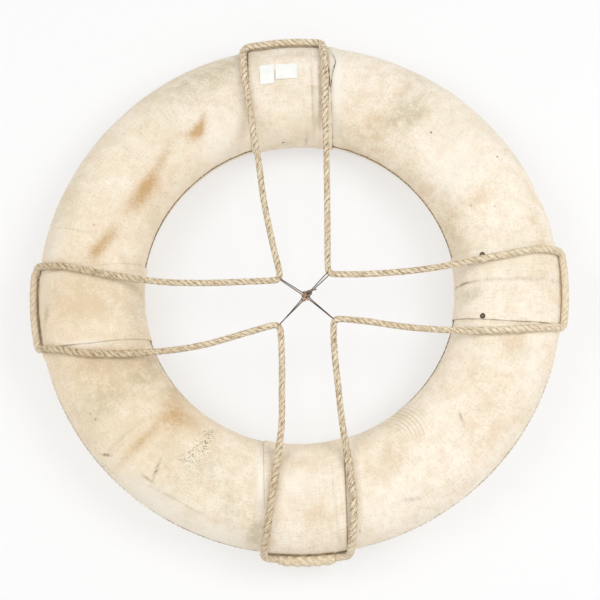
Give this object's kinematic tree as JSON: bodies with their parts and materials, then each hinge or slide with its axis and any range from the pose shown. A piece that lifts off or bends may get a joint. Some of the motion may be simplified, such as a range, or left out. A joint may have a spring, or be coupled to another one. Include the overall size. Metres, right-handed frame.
{
  "type": "cork life ring",
  "caption": "Canvas-covered cork life ring with canvas bands and a laid grab line whose inner bights are tied together over the hole with wire.",
  "frame": {"origin": "bottom centre of the bounding box, where the ring lies on its back; the ring's own axis stands 1 mm towards +X and 7 mm towards +Y of it, because the grab line's splice stands out at -Y", "axes": "+Z along the ring's axis from its back to its front, +Y towards the band with the labels, +X towards the right-hand band as seen from the front"},
  "size_m": [0.7794, 0.7816, 0.1181],
  "materials": {
    "cork": "rough",
    "peg_wood": "matte",
    "cover_canvas": "matte, stained, painted cream",
    "band_canvas": "matte, painted cream",
    "seam_thread": "matte",
    "hemp_rope": "matte",
    "rusty_wire": "rusty",
    "dull_tack": "oxidised",
    "label_paper": "matte paper"
  },
  "bodies": {
    "root": {"cork_front_block_1": "cork", "cork_front_block_2": "cork", "cork_front_block_3": "cork", "cork_front_block_4": "cork", "cork_front_block_5": "cork", "cork_front_block_6": "cork", "cork_back_block_1": "cork", "cork_back_block_2": "cork", "cork_back_block_3": "cork", "cork_back_block_4": "cork", "cork_back_block_5": "cork", "cork_back_block_6": "cork", "wooden_peg_01": "peg_wood", "wooden_peg_02": "peg_wood", "wooden_peg_03": "peg_wood", "wooden_peg_04": "peg_wood", "wooden_peg_05": "peg_wood", "wooden_peg_06": "peg_wood", "wooden_peg_07": "peg_wood", "wooden_peg_08": "peg_wood", "wooden_peg_09": "peg_wood", "wooden_peg_10": "peg_wood", "wooden_peg_11": "peg_wood", "wooden_peg_12": "peg_wood", "cover_front": "cover_canvas", "cover_back": "cover_canvas", "band_top": "band_canvas", "band_right": "band_canvas", "band_bottom": "band_canvas", "band_left": "band_canvas", "seam_thread_rim": "seam_thread", "seam_thread_hole": "seam_thread", "grab_line": "hemp_rope", "grab_line_splice": "hemp_rope", "tie_wire_1": "rusty_wire", "tie_wire_2": "rusty_wire", "tie_binding": "rusty_wire", "tack_right_lower": "dull_tack", "tack_right_upper": "dull_tack", "tack_top": "dull_tack", "label_small": "label_paper", "label_wide": "label_paper"}
  },
  "joints": []
}
